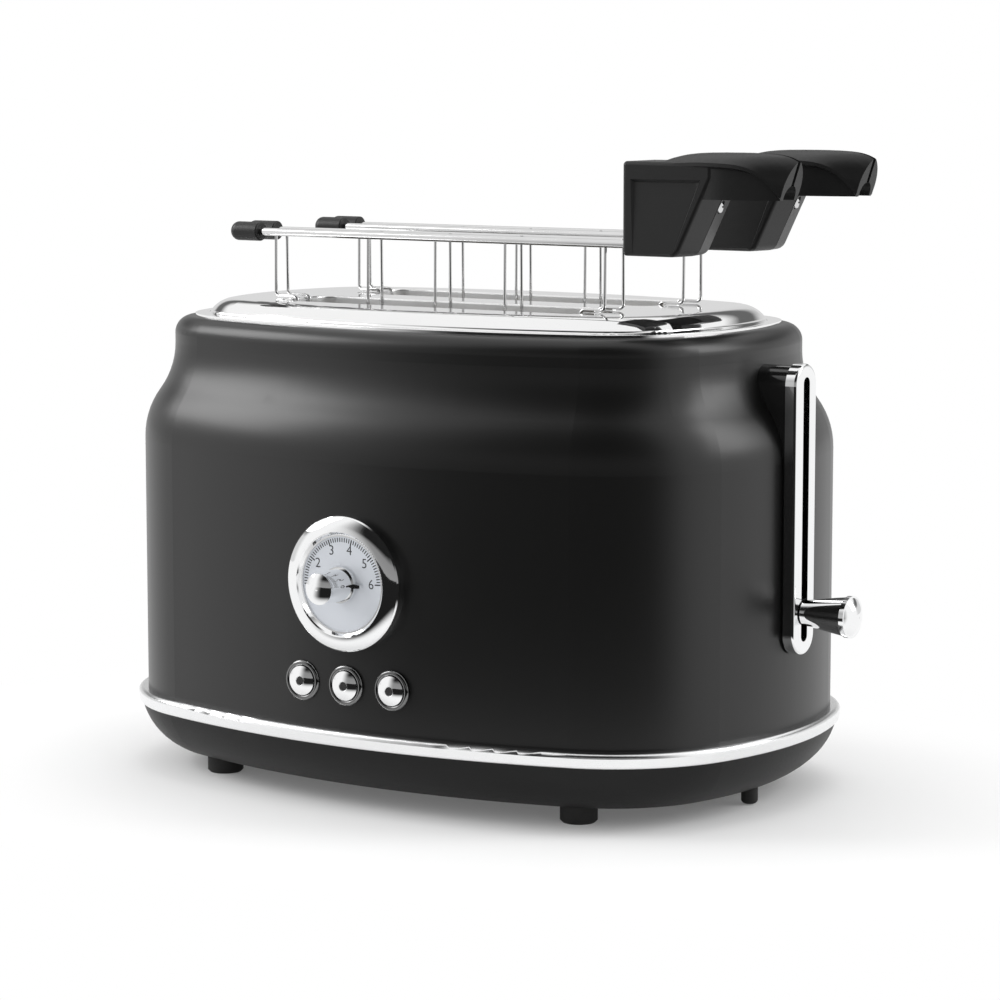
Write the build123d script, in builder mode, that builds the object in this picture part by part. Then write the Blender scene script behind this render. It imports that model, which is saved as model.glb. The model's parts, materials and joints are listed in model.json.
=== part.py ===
"""Wide-slot toaster with two lift-out sandwich tongs, in millimetres.

X runs along the slots towards the lever, and the dial looks out along -Y. Pieces are drawn about
the middle of the body, then moved so that the origin is on the floor under the middle of the
whole toaster, knobs included. The lever is down, the dial stands at its highest setting and the
tongs are closed in their slots.
"""

import math
import os

from build123d import *

# Body outline, measured at the outside of the trim band
body_length = 300
body_width = 210
side_radius = 335
end_radius = 152
corner_radius = 68

# Heights above the floor
foot_height = 8
band_bottom = 27
band_top = 33
shoulder_start = 140
neck_start = 180
shell_top = 191
plate_top = 198.3

# How far each outline lies inside the trim band
belly_inset = 3.2
neck_inset = 16.4
shell_lip_inset = 30
envelope_inset = 31
plate_lip_inset = 25
dome_inset = 31.7
base_top_inset = 0.7
base_mid_inset = 6
base_bottom_inset = 16

# Walls and rounded edges
sheet = 1.2
lip_roll = 7
cove_radius = 1.1
dome_width = 10
base_wall = 3
base_mid_z = 16
base_floor = foot_height + base_wall
band_depth = 4.4
band_outset = 1
band_lean = 0.6
band_round = 2
band_edge = 0.4

# Bread slots
slot_length = 149
slot_width = 34
slot_pitch = 54
slot_corner = 6
slot_lip_depth = 12
slot_edge = 0.84
slot_centres = (-slot_pitch / 2, slot_pitch / 2)

# Oven frame inside the shell
end_plate_room = 11.5
frame_room = 7
frame_drop = 4
board_room = 3
board_bottom = 56
board_height = 124
board_thickness = 0.8
ribbon_width = 2
ribbon_thickness = 0.3
ribbon_rows = 10
guard_inset = 4.5
guard_bottom = 59
guard_drop = 3
guard_bar = 2
guard_wire = 1.2
guard_wires = 8

# Lever, carriage and bread racks
lever_travel = 85
lever_z = 80.3
lever_gap = 0.5
stem_width = 4
stem_height = 8
knob_length = 19
knob_small_diameter = 10
knob_large_diameter = 16
knob_cap_rim = 2
knob_cap_dome = 3
knob_cap_lip = 0.4
guide_proud = 2.5
guide_depth = 5
guide_width = 17
guide_below = 17
guide_above = 14
guide_slot_width = 5
guide_slot_end = 5.3
guide_edge = 1.2
guide_slot_room = 1
guide_block_margin = 1
guide_rod_gap = 18
guide_rod_y = 16
guide_rod_diameter = 6
carriage_gap = 8
carriage_bottom = 62
carriage_height = 28
carriage_sheet = 2
carriage_margin = 1
bush_wall = 5
magnet_core = 8
magnet_coil = 17
magnet_coil_height = 39
magnet_coil_drop = 8
rack_thickness = 3
rack_height = 6
rack_step = 2
rack_notches = 11
rack_notch_pitch = 12
rack_room = 2
spring_clear = 1
spring_y = 14
spring_diameter = 7
spring_wire = 0.8

# Dial and control board
dial_x = 2.4
dial_z = 92.4
bezel_diameter = 54
bezel_proud = 5.2
bezel_throat_diameter = 42
bezel_sleeve = 3.5
bezel_step = 0.6
bezel_edge = 0.5
bezel_fall = 2
face_diameter = 38.2
face_recess = 2.2
dial_knob_diameter = 11.8
dial_knob_base = 13.4
dial_knob_length = 14.7
dial_flange_diameter = 14.5
dial_flange_height = 2
dial_cap_lip = 0.3
dial_cap_rim = 0.8
dial_cap_dome = 1.4
pointer_reach = 10
pointer_width = 3.6
shaft_diameter = 6
pot_diameter = 17
pot_depth = 8
pot_bush_length = 5
pot_bush_wall = 1.5
pot_end_wall = 2
board_depth = 23
board_sheet = 1.6
board_width = 84
board_above_dial = 19.6

# Buttons
button_x = 2
button_pitch = 21.7
button_z = 51.3
button_ring_diameter = 16.3
button_diameter = 11.8
button_dome = 1.2
button_sleeve = 1.6
button_travel = 2
button_places = {
    "defrost": button_x - button_pitch,
    "reheat": button_x,
    "cancel": button_x + button_pitch,
}
ring_proud = 1.4
ring_sleeve_depth = 6
ring_depth = 2
button_cap_back = 5
stem_radius = 2
dish_radius = 2
dish_depth = 0.4
switch_size = 6
switch_depth = 4
switch_nub = 1

# Crumb tray
crumb_side_room = 6
crumb_height = 8
crumb_front_room = 2
crumb_rear_depth = 21
crumb_tongue_depth = 14
crumb_tongue_width = 60
crumb_sheet = 1
crumb_gap = 0.4

# Feet and the underside
foot_from_end = 62
foot_from_side = 40
foot_diameter = 15
foot_chamfer = 1
peg_from_end = 21.5
peg_diameter = 6.8
gland_from_end = 42
gland_y = 40
gland_diameter = 12
gland_bore = 6.6
gland_bottom = 5
gland_rise = 5
screw_from_end = 38
screw_y = 28
screw_diameter = 3
screw_head_height = 2
screw_length = 9

# Sandwich tongs
rod_diameter = 3.3
rod_z = 226
rod_gap_left = 11.7
rod_gap_right = 18.4
rod_left_x = -91
rod_right_x = 93
rod_in_handle = 20
tong_wire = 1.3
tong_inner_wire = 1.25
tong_cross_wire = 1.17
tong_wire_x = (-84.8, -36.4, -2.2, 32.3, 80.2)
wire_bend = 2
wire_inset = 1.8
wire_top_inset = 2.15
shoulder_step = 11.45
grill_bottom = 116
grill_middle = 158
tip_cap_diameter = 8
tip_cap_length = 15
tip_cap_wall = 3
tip_cap_edge = 0.6
tong_opening = 1.3
pivot_x = 124
pivot_diameter = 3
lug_height = 4
lug_radius = 3.6
lug_block = 7
lug_pocket_radius = 4.4
lug_pocket_bottom = 244
lug_pocket_top = 258.5
lug_gap = 0.4
handle_left = 90.9
handle_bottom = 221.6
handle_top = 258.6
handle_outer = 12.3
handle_split = 0.15
handle_corner = 5
handle_small_corner = 1.5
handle_edge = 1.6
wall_bottom_x = 115.4
wall_top_x = 130.5
wall_top_z = 252.5
wall_sweep = 2.5
recess_depth = 1.3
recess_top = 250.5
recess_left = 95.8
recess_right_bottom = 111.5
recess_right_top = 124.5
recess_slope = 40
arm_bottom = 244.3
arm_roof = 1.4
arm_eave = 0.9
arch_start_x = 141
arch_radius = 4.4
arch_rise = 1.2
hinge_screw_y = 3.2
hinge_screw_z = 240.9
hinge_screw_head = 4.4
hinge_screw_length = 9
screw_seat_depth = 2
screw_seat_gap = 0.4
screw_slot_width = 0.7
screw_slot_depth = 0.5
tong_shift = {"front": 0, "rear": 4.4}

# Clearances
running_gap = 0.05
slide_gap = 0.1
free_gap = 0.3

half_length = body_length / 2
half_width = body_width / 2

# Places that follow from the sizes above
end_plate_x = slot_length / 2 + end_plate_room
board_offset = slot_width / 2 + board_room
guard_offset = slot_width / 2 - guard_inset
frame_half_width = slot_pitch / 2 + board_offset + frame_room
frame_top = shell_top - frame_drop
guard_top = frame_top - guard_drop
carriage_front_x = end_plate_x + carriage_gap
guide_rod_x = end_plate_x + guide_rod_gap
spring_x = guide_rod_x + guide_rod_diameter / 2 + bush_wall + spring_clear + spring_diameter / 2
rack_bottom = carriage_bottom + rack_step
magnet_coil_top = carriage_bottom - magnet_coil_drop
magnet_coil_bottom = magnet_coil_top - magnet_coil_height
guide_face_x = half_length + guide_proud
guide_bottom = lever_z - guide_below
guide_top = lever_z + lever_travel + guide_above
board_y = board_depth - half_width
board_top = dial_z + board_above_dial
crumb_width = 2 * (end_plate_x - crumb_side_room)
crumb_front_y = crumb_front_room - frame_half_width
crumb_rear_y = half_width - crumb_rear_depth
crumb_tongue_y = half_width - crumb_tongue_depth
foot_x = half_length - foot_from_end
foot_y = half_width - foot_from_side
peg_x = half_length - peg_from_end
gland_x = gland_from_end - half_length
gland_top = base_floor + gland_rise
screw_x = half_length - screw_from_end
screw_tip_z = foot_height + screw_length

# Stations along the arm of a handle half: x, half width of the arm, half width and height of
# the brim over it, height of the ridge, and how far the ridge leans beyond the foot
arm_stations = (
    (105, 10.2, 11, 257.2, 258.3, 0),
    (113, 10.4, 12, 258, 261, 0),
    (122, 10.8, 12.6, 258.5, 262, 0),
    (131, 11.8, 13.2, 258.5, 262.2, 0),
    (142, 10.6, 13.1, 257.8, 262.2, 0),
    (149, 9, 11.9, 255.6, 262, 0.6),
    (154, 7.4, 9.4, 251, 261.5, 2.4),
    (158, 5.8, 6.8, 246.4, 259.8, 5),
)


def front_surface(x):
    """Y of the front of the belly at x, on the side arc."""
    radius = side_radius - belly_inset
    return -half_width + belly_inset + radius - math.sqrt(radius**2 - x**2)


# How far the lever knob and the dial knob reach, and the middle of the whole outline
knob_start = guide_face_x + lever_gap
knob_end = knob_start + knob_length
lever_reach = knob_end + knob_cap_rim + knob_cap_dome
belly = -front_surface(dial_x)
face_front = belly + bezel_proud - face_recess
knob_back = face_front + free_gap
knob_front = knob_back + dial_knob_length
dial_reach = knob_front + dial_cap_rim + dial_cap_dome
middle_x = (lever_reach - half_length - band_outset) / 2
middle_y = (half_width + band_outset - dial_reach) / 2


def arc_centres():
    """Centres of the side, corner and end arcs of the +X, -Y quarter, where the corner touches both."""
    side = (0, side_radius - half_width)
    end = (half_length - end_radius, 0)
    to_side = side_radius - corner_radius
    to_end = end_radius - corner_radius
    dx = end[0] - side[0]
    dy = end[1] - side[1]
    apart = math.hypot(dx, dy)
    along = (to_side**2 - to_end**2 + apart**2) / (2 * apart)
    across = math.sqrt(to_side**2 - along**2)
    x = side[0] + (along * dx - across * dy) / apart
    y = side[1] + (along * dy + across * dx) / apart
    return side, (x, y), end


def joint_point(centre, corner, radius):
    """Where a large arc meets the corner arc: a radius beyond the corner's centre."""
    dx = corner[0] - centre[0]
    dy = corner[1] - centre[1]
    length = math.hypot(dx, dy)
    return (corner[0] + dx / length * radius, corner[1] + dy / length * radius)


def body_arcs():
    """Centre, first point, its bearing and the turn of the side, corner and end arcs."""
    side, corner, end = arc_centres()
    side_joint = joint_point(side, corner, corner_radius)
    end_joint = joint_point(end, corner, corner_radius)
    middle = (0, -half_width)
    tip = (half_length, 0)
    arcs = (
        (side, middle, side_joint),
        (corner, side_joint, end_joint),
        (end, end_joint, tip),
    )
    for centre, start, finish in arcs:
        begin = math.atan2(start[1] - centre[1], start[0] - centre[0])
        stop = math.atan2(finish[1] - centre[1], finish[0] - centre[0])
        yield centre, start, begin, math.degrees(stop - begin)


def outline_face(inset):
    """Flat face inside the outline that lies this far inside the trim band."""
    side, corner, end = arc_centres()
    side_joint = joint_point(side, corner, corner_radius - inset)
    end_joint = joint_point(end, corner, corner_radius - inset)
    middle = (0, -half_width + inset)
    tip = (half_length - inset, 0)
    with BuildSketch() as face:
        with BuildLine():
            RadiusArc(middle, side_joint, -(side_radius - inset))
            RadiusArc(side_joint, end_joint, -(corner_radius - inset))
            RadiusArc(end_joint, tip, -(end_radius - inset))
            mirror(about=Plane.XZ)
            mirror(about=Plane.YZ)
        make_face()
    return face.sketch


def round_body(section):
    """Turn a cross-section (inset, height) along each arc of one quarter, then mirror it."""
    with BuildPart() as ring:
        for centre, start, bearing, turn in body_arcs():
            inward = (-math.cos(bearing), -math.sin(bearing), 0)
            onward = (-math.sin(bearing), math.cos(bearing), 0)
            with BuildSketch(Plane(origin=(*start, 0), x_dir=inward, z_dir=onward)):
                add(section)
            revolve(axis=Axis((*centre, 0), (0, 0, 1)), revolution_arc=turn)
        mirror(about=Plane.XZ)
        mirror(about=Plane.YZ)
    return ring.part


def block(x, y, z, mode=Mode.ADD):
    """Box between two values on each axis."""
    with Locations(((x[0] + x[1]) / 2, (y[0] + y[1]) / 2, (z[0] + z[1]) / 2)):
        Box(x[1] - x[0], y[1] - y[0], z[1] - z[0], mode=mode)


def post(x, y, z, radius, mode=Mode.ADD):
    """Upright cylinder between two heights."""
    with Locations((x, y, (z[0] + z[1]) / 2)):
        Cylinder(radius, z[1] - z[0], mode=mode)


def bar(x, y, z, radius, mode=Mode.ADD):
    """Cylinder along X between two values of x."""
    with Locations(((x[0] + x[1]) / 2, y, z)):
        Cylinder(radius, x[1] - x[0], rotation=(0, 90, 0), mode=mode)


def pin_in(x, y, z, radius, mode=Mode.ADD):
    """Cylinder along Y between two values of y."""
    with Locations((x, (y[0] + y[1]) / 2, z)):
        Cylinder(radius, y[1] - y[0], rotation=(90, 0, 0), mode=mode)


def facing_front(x, z):
    """Sketch plane through an axis that looks out along -Y: local x is the radius, local y is -Y."""
    return Plane(origin=(x, 0, z), x_dir=(1, 0, 0), z_dir=(0, 0, -1))


def front_axis(x, z):
    return Axis((x, 0, z), (0, -1, 0))


def dome(base, radius, height):
    """Arc of a domed end, from its rim to the axis, for a section turned about local y."""
    bend = (radius**2 + height**2) / (2 * height)
    return RadiusArc((radius, base), (0, base + height), -bend)


def save(piece, name):
    """Move a finished piece to the toaster's own origin and write it under its name."""
    piece = Pos(-middle_x, -middle_y, 0) * piece
    piece.label = name
    export_step(piece, f"parts/{name}.step")


os.makedirs("parts", exist_ok=True)


# Outer shell: belly, shoulder, neck and a rolled lip under the top plate
def shell_curve(depth):
    """Outside of the shell from foot to lip, moved inwards by a depth."""
    rise = neck_start - shoulder_start
    step = neck_inset - belly_inset
    bend = (rise**2 + step**2) / (4 * step)
    slope = 2 * math.atan2(step, rise)
    middle_inset = (belly_inset + neck_inset) / 2 + depth * math.cos(slope)
    middle_z = (shoulder_start + neck_start) / 2 - depth * math.sin(slope)
    roll_end = neck_inset + lip_roll
    with BuildLine() as curve:
        Line((belly_inset + depth, band_top), (belly_inset + depth, shoulder_start))
        RadiusArc((belly_inset + depth, shoulder_start), (middle_inset, middle_z), bend - depth)
        RadiusArc((middle_inset, middle_z), (neck_inset + depth, neck_start), -bend - depth)
        Line((neck_inset + depth, neck_start), (neck_inset + depth, shell_top - lip_roll))
        RadiusArc(
            (neck_inset + depth, shell_top - lip_roll),
            (roll_end, shell_top - depth),
            lip_roll - depth,
        )
        Line((roll_end, shell_top - depth), (shell_lip_inset, shell_top - depth))
    return curve.line


def shell_section(closing_points):
    """Face between the outside of the shell and the lines through the closing points."""
    with BuildSketch() as section:
        with BuildLine():
            add(shell_curve(0))
            Polyline((shell_lip_inset, shell_top), *closing_points, (belly_inset, band_top))
        make_face()
    return section.sketch


def sheet_section():
    """Face of the shell's own thickness."""
    with BuildSketch() as section:
        with BuildLine():
            add(shell_curve(0))
            Line((shell_lip_inset, shell_top), (shell_lip_inset, shell_top - sheet))
            add(shell_curve(sheet))
            Line((belly_inset + sheet, band_top), (belly_inset, band_top))
        make_face()
    return section.sketch


envelope = round_body(
    shell_section([(envelope_inset, shell_top), (envelope_inset, band_top)])
)
front_plane = Plane(origin=(0, -half_width, 0), x_dir=(1, 0, 0), z_dir=(0, -1, 0))
end_plane = Plane(origin=(half_length, 0, 0), x_dir=(0, 1, 0), z_dir=(1, 0, 0))
guide_middle = (guide_bottom + guide_top) / 2
guide_length = guide_top - guide_bottom
guide_slot_length = guide_length - 2 * guide_slot_end
bezel_hole_radius = bezel_throat_diameter / 2 + bezel_sleeve
button_hole_radius = button_diameter / 2 + button_sleeve + slide_gap

with BuildPart() as outer_shell:
    add(round_body(sheet_section()))
    with BuildSketch(front_plane):
        with Locations((dial_x, dial_z)):
            Circle(bezel_hole_radius)
        for place in button_places.values():
            with Locations((place, button_z)):
                Circle(button_hole_radius)
    extrude(amount=-half_width / 2, mode=Mode.SUBTRACT)
    with BuildSketch(end_plane):
        with Locations((0, guide_middle)):
            hole_width = guide_slot_width + 2 * guide_slot_room
            SlotOverall(guide_slot_length + 2 * guide_slot_room, hole_width, rotation=90)
    extrude(amount=-half_length / 3, mode=Mode.SUBTRACT)
save(outer_shell.part, "outer_shell")

# Trim band between the shell and the base: its face leans in below a rounded top edge
with BuildSketch() as band_section:
    with BuildLine():
        heel = band_lean - band_outset
        Polyline(
            (heel + band_edge, band_bottom),
            (heel, band_bottom + band_edge),
            (-band_outset, band_top - band_round),
        )
        RadiusArc(
            (-band_outset, band_top - band_round), (band_round - band_outset, band_top), band_round
        )
        Polyline(
            (band_round - band_outset, band_top),
            (band_depth, band_top),
            (band_depth, band_bottom),
            (heel + band_edge, band_bottom),
        )
    make_face()
with BuildPart() as trim_band:
    add(round_body(band_section.sketch))
save(trim_band.part, "trim_band")

# Base tray: a bowl-shaped plastic tray with a window at the back for the crumb tray
with BuildSketch() as base_section:
    with BuildLine():
        ThreePointArc(
            (base_top_inset, band_bottom),
            (base_mid_inset, base_mid_z),
            (base_bottom_inset, foot_height),
        )
        Line((base_bottom_inset, foot_height), (base_bottom_inset + base_wall / 2, base_floor))
        ThreePointArc(
            (base_bottom_inset + base_wall / 2, base_floor),
            (base_mid_inset + base_wall * 0.8, base_mid_z + base_wall * 0.6),
            (base_top_inset + base_wall, band_bottom),
        )
        Line((base_top_inset + base_wall, band_bottom), (base_top_inset, band_bottom))
    make_face()
base_wall_ring = round_body(base_section.sketch)
window_half = crumb_width / 2 + crumb_gap
window_top = base_floor + free_gap + crumb_height + 2 * crumb_gap
back_reach = (half_width * 2 / 3, half_width)

with BuildPart() as base_tray:
    add(base_wall_ring)
    with BuildSketch(Plane.XY.offset(foot_height)):
        add(outline_face(base_bottom_inset))
    extrude(amount=base_wall)
    block((-window_half, window_half), back_reach, (base_floor, window_top), Mode.SUBTRACT)
    for sx in (-1, 1):
        for sy in (-1, 1):
            x, y = sx * screw_x, sy * screw_y
            post(x, y, (0, base_floor), screw_diameter / 2 + slide_gap, Mode.SUBTRACT)
            head_room = (0, foot_height + screw_head_height + slide_gap)
            post(x, y, head_room, screw_diameter + slide_gap, Mode.SUBTRACT)
    post(gland_x, gland_y, (0, band_bottom), gland_diameter / 2 + running_gap, Mode.SUBTRACT)
save(base_tray.part, "base_tray")

# Base screws, one at each inner corner of the underside
with BuildPart() as base_screws:
    for sx in (-1, 1):
        for sy in (-1, 1):
            x, y = sx * screw_x, sy * screw_y
            head_top = foot_height + screw_head_height
            post(x, y, (foot_height, head_top), screw_diameter)
            post(x, y, (head_top, screw_tip_z), screw_diameter / 2)
save(base_screws.part, "base_screws")


# Feet and end pegs
def foot_row(y):
    with BuildPart() as row:
        for sx in (-1, 1):
            post(sx * foot_x, y, (0, foot_height), foot_diameter / 2)
        chamfer(row.edges().group_by(Axis.Z)[0], foot_chamfer)
    return row.part


save(foot_row(-foot_y), "front_feet")
save(foot_row(foot_y), "rear_feet")

with BuildPart() as end_pegs:
    for sx in (-1, 1):
        post(sx * peg_x, 0, (free_gap, foot_height), peg_diameter / 2)
    fillet(end_pegs.edges().group_by(Axis.Z)[0], peg_diameter / 4)
save(end_pegs.part, "end_pegs")

# Cord gland in the underside, with the bore that the cord would take
with BuildPart() as cord_gland:
    post(gland_x, gland_y, (foot_height, gland_top), gland_diameter / 2)
    post(gland_x, gland_y, (gland_bottom, foot_height), gland_diameter / 2 + 1)
    post(gland_x, gland_y, (gland_bottom, gland_top), gland_bore / 2, Mode.SUBTRACT)
save(cord_gland.part, "cord_gland")

# Top plate: flat lip, cove, domed rim and a flat top with two lipped bread slots
plate_lip_z = shell_top + sheet
dome_start = plate_lip_z + cove_radius
dome_height = plate_top - dome_start
dome_bend = (dome_width**2 + dome_height**2) / (2 * dome_height)
dome_end = dome_inset + dome_width

with BuildSketch() as plate_section:
    with BuildLine():
        Line((plate_lip_inset, shell_top), (plate_lip_inset, plate_lip_z))
        Line((plate_lip_inset, plate_lip_z), (dome_inset - cove_radius, plate_lip_z))
        RadiusArc((dome_inset - cove_radius, plate_lip_z), (dome_inset, dome_start), -cove_radius)
        RadiusArc((dome_inset, dome_start), (dome_end, plate_top), dome_bend)
        Line((dome_end, plate_top), (dome_end, plate_top - sheet))
        RadiusArc(
            (dome_end, plate_top - sheet), (dome_inset + sheet, shell_top), -dome_bend + sheet
        )
        Line((dome_inset + sheet, shell_top), (plate_lip_inset, shell_top))
    make_face()
with BuildPart() as top_plate:
    add(round_body(plate_section.sketch))
    with BuildSketch(Plane.XY.offset(plate_top - sheet)):
        add(outline_face(dome_end))
    extrude(amount=sheet)
    with BuildSketch(Plane.XY.offset(plate_top - slot_lip_depth)):
        with Locations(*[(0, y) for y in slot_centres]):
            RectangleRounded(slot_length + 2 * sheet, slot_width + 2 * sheet, slot_corner + sheet)
    extrude(amount=slot_lip_depth)
    with BuildSketch(Plane.XY.offset(plate_top)):
        with Locations(*[(0, y) for y in slot_centres]):
            RectangleRounded(slot_length, slot_width, slot_corner)
    extrude(amount=-slot_lip_depth - sheet, mode=Mode.SUBTRACT)
    slot_rims = top_plate.edges().group_by(Axis.Z)[-1]
    fillet(slot_rims, slot_edge)
save(top_plate.part, "top_plate")

# Oven frame: end plates with slots for the bread racks and holes for the guards' pivots
rack_slot = (rack_bottom - rack_room, rack_bottom + rack_height + lever_travel + rack_room)
with BuildPart() as end_plates:
    for sx in (-1, 1):
        inner = sx * end_plate_x
        outer = sx * (end_plate_x + sheet)
        span = (min(inner, outer), max(inner, outer))
        block(span, (-frame_half_width, frame_half_width), (base_floor, frame_top))
        for centre in slot_centres:
            side = rack_thickness / 2 + free_gap
            block(span, (centre - side, centre + side), rack_slot, Mode.SUBTRACT)
            for side in (-guard_offset, guard_offset):
                hole = guard_bar / 2 + running_gap
                bar(span, centre + side, guard_bottom, hole, Mode.SUBTRACT)
    block(
        (end_plate_x, spring_x + spring_diameter),
        (-guide_rod_y - guide_rod_diameter, guide_rod_y + guide_rod_diameter),
        (frame_top, frame_top + sheet),
    )
save(end_plates.part, "end_plates")

with BuildPart() as side_reflectors:
    for sy in (-1, 1):
        inner = sy * (frame_half_width - sheet)
        outer = sy * frame_half_width
        span = (min(inner, outer), max(inner, outer))
        block((-end_plate_x, end_plate_x), span, (band_top, frame_top))
save(side_reflectors.part, "side_reflectors")


# Heaters: a mica board each side of both slots, with ribbon wound to and fro on the bread side
def board_places():
    """Y of each board's middle, and the side of it that faces the bread."""
    for centre in slot_centres:
        yield centre - board_offset, 1
        yield centre + board_offset, -1


with BuildPart() as heater_boards:
    for y, _ in board_places():
        span = (y - board_thickness / 2, y + board_thickness / 2)
        block((-end_plate_x, end_plate_x), span, (board_bottom, board_bottom + board_height))
save(heater_boards.part, "heater_boards")

with BuildPart() as heater_ribbons:
    row_step = (board_height - 4 * ribbon_width) / (ribbon_rows - 1)
    reach = end_plate_x - 4 * ribbon_width
    for y, facing in board_places():
        near = y + facing * board_thickness / 2
        far = near + facing * ribbon_thickness
        span = (min(near, far), max(near, far))
        for row in range(ribbon_rows):
            low = board_bottom + 1.5 * ribbon_width + row * row_step
            block((-reach, reach), span, (low, low + ribbon_width))
            if row:
                end = reach - ribbon_width / 2 if row % 2 else -reach + ribbon_width / 2
                across = (end - ribbon_width / 2, end + ribbon_width / 2)
                block(across, span, (low - row_step, low + ribbon_width))
save(heater_ribbons.part, "heater_ribbons")


# Bread guards: a wire frame each side of the bread that tips about its bottom bar
def bread_guard(y):
    reach = slot_length / 2 - guard_bar
    with BuildPart() as guard:
        bar((-end_plate_x - 3 * sheet, end_plate_x + 3 * sheet), y, guard_bottom, guard_bar / 2)
        bar((-reach, reach), y, guard_top, guard_bar / 2)
        step = 2 * (reach - guard_bar) / (guard_wires - 1)
        for wire in range(guard_wires):
            x = -reach + guard_bar + wire * step
            post(x, y, (guard_bottom, guard_top), guard_wire / 2)
    return guard.part


for slot, centre in zip(("front", "rear"), slot_centres):
    save(bread_guard(centre - guard_offset), f"guard_{slot}_near")
    save(bread_guard(centre + guard_offset), f"guard_{slot}_far")

# Carriage on its two guide rods, with the latch magnet below it
with BuildPart() as guide_rods:
    for sy in (-1, 1):
        post(guide_rod_x, sy * guide_rod_y, (base_floor, frame_top), guide_rod_diameter / 2)
save(guide_rods.part, "guide_rods")

carriage_top = carriage_bottom + carriage_height
bush_back = guide_rod_x + guide_rod_diameter / 2 + bush_wall
bush_side = guide_rod_y + guide_rod_diameter
with BuildPart() as carriage:
    plate_side = slot_pitch / 2 + rack_thickness + carriage_margin
    plate_back = carriage_front_x + carriage_sheet
    ear = spring_diameter / 2 + carriage_margin
    block(
        (carriage_front_x, plate_back),
        (-plate_side, plate_side),
        (carriage_bottom, carriage_top),
    )
    block(
        (plate_back, bush_back),
        (-bush_side, bush_side),
        (carriage_bottom, carriage_top),
    )
    block(
        (bush_back, spring_x + ear),
        (spring_y - ear, spring_y + ear),
        (carriage_bottom, carriage_bottom + carriage_sheet),
    )
    for sy in (-1, 1):
        bore = guide_rod_diameter / 2 + slide_gap
        height = (carriage_bottom, carriage_top)
        post(guide_rod_x, sy * guide_rod_y, height, bore, Mode.SUBTRACT)
save(carriage.part, "carriage")

with BuildPart() as latch_magnet:
    post(guide_rod_x, 0, (base_floor, carriage_bottom - free_gap), magnet_core / 2)
    post(guide_rod_x, 0, (magnet_coil_bottom, magnet_coil_top), magnet_coil / 2)
save(latch_magnet.part, "latch_magnet")

with BuildPart() as return_spring:
    height = (carriage_bottom + carriage_sheet, frame_top)
    post(spring_x, spring_y, height, spring_diameter / 2)
    post(spring_x, spring_y, height, spring_diameter / 2 - spring_wire, Mode.SUBTRACT)
save(return_spring.part, "return_spring")


# Bread racks: a toothed strip under each slot, fixed to the carriage
def bread_rack(centre):
    with BuildPart() as rack:
        start = -end_plate_x - 3 * sheet
        span = (centre - rack_thickness / 2, centre + rack_thickness / 2)
        block((start, carriage_front_x), span, (rack_bottom, rack_bottom + rack_height))
        for notch in range(rack_notches):
            x = (notch - (rack_notches - 1) / 2) * rack_notch_pitch
            cut = (x - rack_notch_pitch / 4, x + rack_notch_pitch / 4)
            top = rack_bottom + rack_height
            block(cut, span, (top - rack_height / 3, top), Mode.SUBTRACT)
    return rack.part


for slot, centre in zip(("front", "rear"), slot_centres):
    save(bread_rack(centre), f"bread_rack_{slot}")

# Lever stem through the guide, and its tapered knob
with BuildPart() as lever_stem:
    block(
        (bush_back, knob_start),
        (-stem_width / 2, stem_width / 2),
        (lever_z - stem_height / 2, lever_z + stem_height / 2),
    )
save(lever_stem.part, "lever_stem")

lever_plane = Plane(origin=(0, 0, lever_z), x_dir=(1, 0, 0), z_dir=(0, -1, 0))
lever_axis = Axis((0, 0, lever_z), (1, 0, 0))
with BuildPart() as lever_knob:
    with BuildSketch(lever_plane):
        Polygon(
            (knob_start, 0),
            (knob_start, knob_small_diameter / 2),
            (knob_end, knob_large_diameter / 2),
            (knob_end, 0),
            align=None,
        )
    revolve(axis=lever_axis)
save(lever_knob.part, "lever_knob")

with BuildPart() as lever_knob_cap:
    with BuildSketch(lever_plane):
        with BuildLine():
            rim = knob_large_diameter / 2 + knob_cap_lip
            step = rim - 2 * knob_cap_lip
            rim_end = knob_end + knob_cap_rim
            bend = (step**2 + knob_cap_dome**2) / (2 * knob_cap_dome)
            Polyline((knob_end, 0), (knob_end, rim), (rim_end, rim), (rim_end, step))
            RadiusArc((rim_end, step), (rim_end + knob_cap_dome, 0), bend)
            Line((rim_end + knob_cap_dome, 0), (knob_end, 0))
        make_face()
    revolve(axis=lever_axis)
save(lever_knob_cap.part, "lever_knob_cap")


# Lever guide: a long ring on the end of the body, backed by a block that follows the shell
def guide_ring(length, width, start, depth):
    ring_plane = Plane(origin=(start, 0, guide_middle), x_dir=(0, 1, 0), z_dir=(1, 0, 0))
    with BuildPart() as ring:
        with BuildSketch(ring_plane):
            SlotOverall(length, width, rotation=90)
            SlotOverall(guide_slot_length, guide_slot_width, rotation=90, mode=Mode.SUBTRACT)
        extrude(amount=depth)
    return ring.part


guide_back = guide_face_x - guide_depth
with BuildPart() as lever_guide:
    add(guide_ring(guide_length, guide_width, guide_back, guide_depth))
    outer_rim = lever_guide.faces().sort_by(Axis.X)[-1].outer_wire().edges()
    fillet(outer_rim, guide_edge)
save(lever_guide.part, "lever_guide")

with BuildPart() as lever_guide_block:
    block_start = half_length - envelope_inset + 1
    block_length = guide_length - 2 * guide_block_margin
    block_width = guide_width - 2 * guide_block_margin
    add(guide_ring(block_length, block_width, block_start, guide_back - block_start))
    add(envelope, mode=Mode.SUBTRACT)
save(lever_guide_block.part, "lever_guide_block")

# Dial: chrome bezel through the shell, printed face, and a knob on the control's shaft
throat_radius = bezel_throat_diameter / 2
sleeve_radius = bezel_hole_radius - free_gap / 2

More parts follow.
